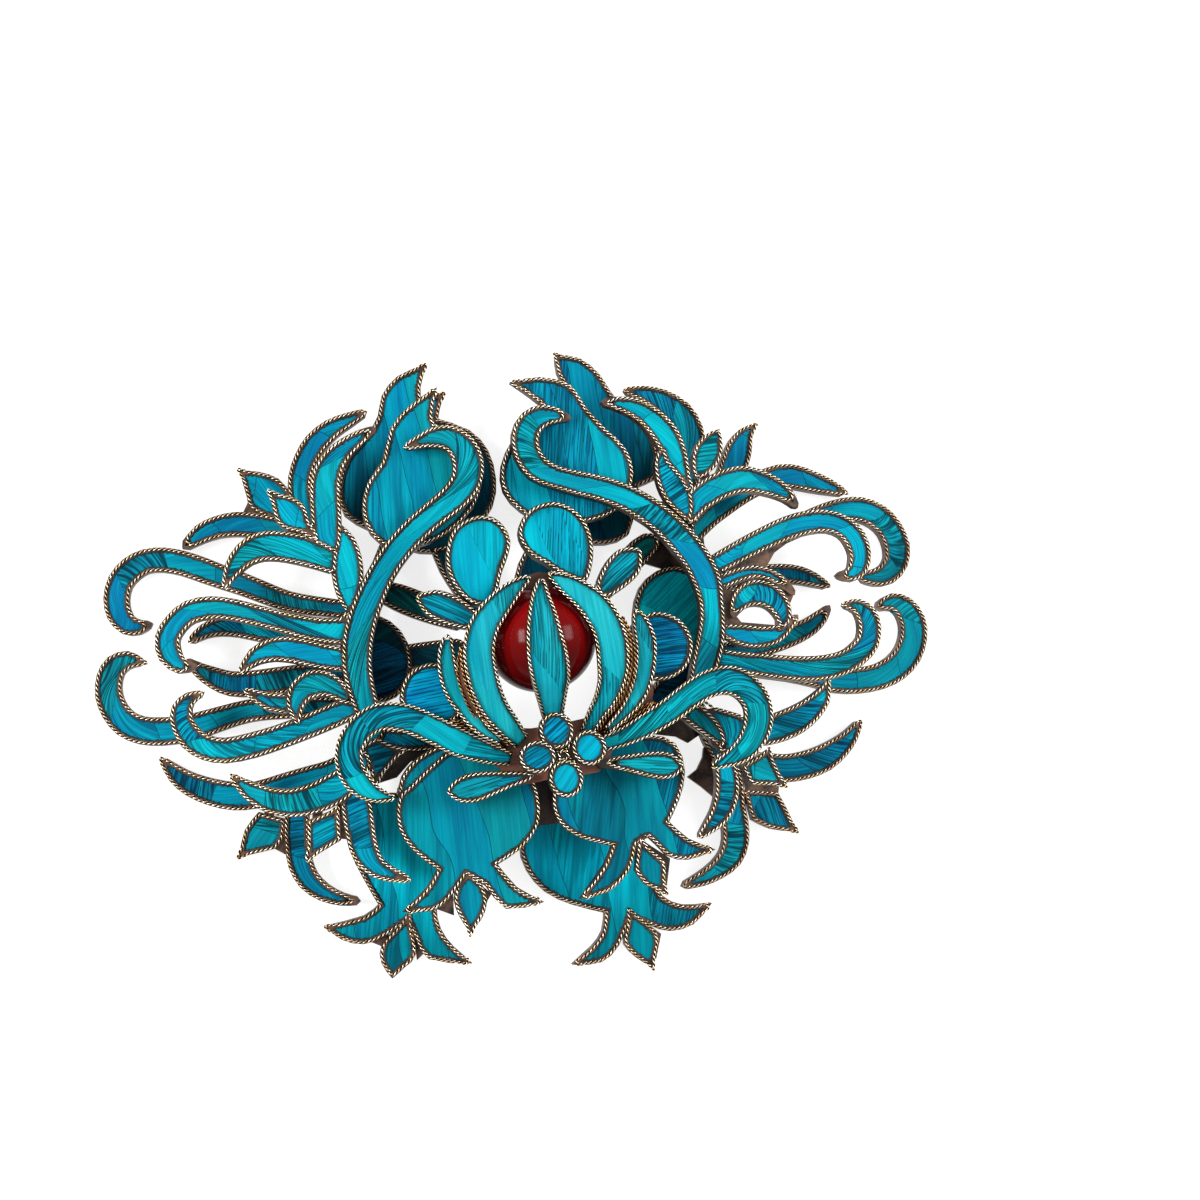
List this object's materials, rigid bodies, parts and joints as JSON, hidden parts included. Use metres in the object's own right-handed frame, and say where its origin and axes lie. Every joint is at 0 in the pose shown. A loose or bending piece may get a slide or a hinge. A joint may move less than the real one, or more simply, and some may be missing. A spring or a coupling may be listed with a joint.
{
  "type": "filigree brooch",
  "caption": "Brooch of two tiers of gilt cells filled with blue feather, with a raised lotus flower and a dark red bead.",
  "frame": {"origin": "centre of the outline, on the surface the brooch lies on", "axes": "+X towards the viewer's right, +Y towards the buds, +Z out of the front"},
  "size_m": [0.0798, 0.0594, 0.0161],
  "materials": {
    "gilt": "satin",
    "old_gilt": "satin",
    "turquoise_feather": "satin",
    "azure_feather": "satin",
    "teal_feather": "satin",
    "red_stone": "polished"
  },
  "bodies": {
    "root": {"lower_left_spray": "old_gilt", "lower_right_spray": "old_gilt", "lower_left_foot": "old_gilt", "lower_right_foot": "old_gilt", "lower_left_bud": "old_gilt", "lower_right_bud": "old_gilt", "lower_left_pomegranate": "old_gilt", "lower_right_pomegranate": "old_gilt", "back_frame": "old_gilt", "pin_fitting": "old_gilt", "flower_cup": "old_gilt", "petal_collar": "old_gilt", "upper_left_spray": "gilt", "upper_right_spray": "gilt", "upper_left_foot": "gilt", "upper_right_foot": "gilt", "upper_left_bud": "gilt", "upper_right_bud": "gilt", "upper_left_pomegranate": "gilt", "upper_right_pomegranate": "gilt", "club_leaf_left": "gilt", "club_leaf_right": "gilt", "teardrop_left": "gilt", "teardrop_right": "gilt", "oval_leaf_left": "gilt", "oval_leaf_right": "gilt", "striped_disc_left": "gilt", "striped_disc_right": "gilt", "blossom": "gilt", "bead_wire": "gilt", "upper_left_feathers": "turquoise_feather", "upper_right_feathers": "turquoise_feather", "upper_bud_feathers": "turquoise_feather", "upper_pomegranate_feathers": "turquoise_feather", "flower_feathers": "turquoise_feather", "recurved_petal_left": "turquoise_feather", "recurved_petal_right": "turquoise_feather", "narrow_petal_left": "turquoise_feather", "narrow_petal_right": "turquoise_feather", "wide_petal_left": "turquoise_feather", "wide_petal_right": "turquoise_feather", "centre_petal": "turquoise_feather", "lower_bud_feathers": "azure_feather", "lower_left_feathers": "teal_feather", "lower_right_feathers": "teal_feather", "lower_pomegranate_feathers": "teal_feather", "bead": "red_stone"}
  },
  "joints": []
}
